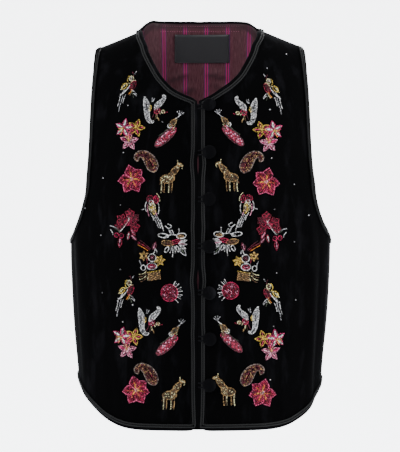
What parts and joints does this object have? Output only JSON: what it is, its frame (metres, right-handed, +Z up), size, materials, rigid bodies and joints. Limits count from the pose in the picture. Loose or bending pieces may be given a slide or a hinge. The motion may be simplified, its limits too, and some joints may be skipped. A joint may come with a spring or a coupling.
{
  "type": "beaded vest",
  "caption": "Sleeveless velvet vest with raised beaded birds and flowers, bound edges, striped lining and loop-fastened dome buttons.",
  "frame": {"origin": "midway between the two side neck points, on the shoulder line, where the shoulders carry the vest", "axes": "+Z up, the front faces -Y, +X towards the wearer's left front, which carries the buttons"},
  "size_m": [0.3801, 0.2386, 0.5883],
  "materials": {
    "velvet": "short cut pile with a soft sheen",
    "binding": "velvet roll with a flat braid along it",
    "lining": "woven viscose with narrow magenta stripes",
    "label": "close satin weave, bare",
    "button": "velvet drawn over a dome",
    "cord": "rolled velvet cord",
    "gold_beads": "glass beads and gold purl",
    "silver_beads": "silver-lined glass beads",
    "pink_beads": "glass beads and cup sequins",
    "red_beads": "glass beads and silk thread",
    "cream_beads": "pearl and glass beads"
  },
  "bodies": {
    "root": {"right_front": "velvet", "left_front": "velvet", "back": "velvet", "back_lining": "lining", "label": "label", "right_front_binding": "binding", "left_front_binding": "binding", "back_neck_binding": "binding", "back_hem_binding": "binding", "right_armhole_binding": "binding", "left_armhole_binding": "binding", "button_1": "button", "button_2": "button", "button_3": "button", "button_4": "button", "button_5": "button", "button_6": "button", "button_7": "button", "loop_1": "cord", "loop_2": "cord", "loop_3": "cord", "loop_4": "cord", "loop_5": "cord", "loop_6": "cord", "loop_7": "cord", "right_parrot_1": "gold_beads", "right_swallow_2": "silver_beads", "right_peacock_3": "pink_beads", "right_lily_4": "cream_beads", "right_paisley_5": "red_beads", "right_hibiscus_6": "red_beads", "right_giraffe_7": "gold_beads", "right_budgie_8": "cream_beads", "right_daisy_9": "silver_beads", "right_basket_10": "gold_beads", "right_parrot_11": "gold_beads", "right_pompom_12": "pink_beads", "right_swallow_13": "silver_beads", "right_peacock_14": "pink_beads", "right_lily_15": "cream_beads", "right_paisley_16": "red_beads", "right_hibiscus_17": "red_beads", "left_parrot_1": "gold_beads", "left_swallow_2": "silver_beads", "left_peacock_3": "pink_beads", "left_lily_4": "cream_beads", "left_paisley_5": "red_beads", "left_hibiscus_6": "red_beads", "left_giraffe_7": "gold_beads", "left_budgie_8": "cream_beads", "left_daisy_9": "silver_beads", "left_basket_10": "gold_beads", "left_parrot_11": "gold_beads", "left_pompom_12": "pink_beads", "left_swallow_13": "silver_beads", "left_peacock_14": "pink_beads", "left_lily_15": "cream_beads", "left_paisley_16": "red_beads", "left_hibiscus_17": "red_beads"}
  },
  "joints": []
}
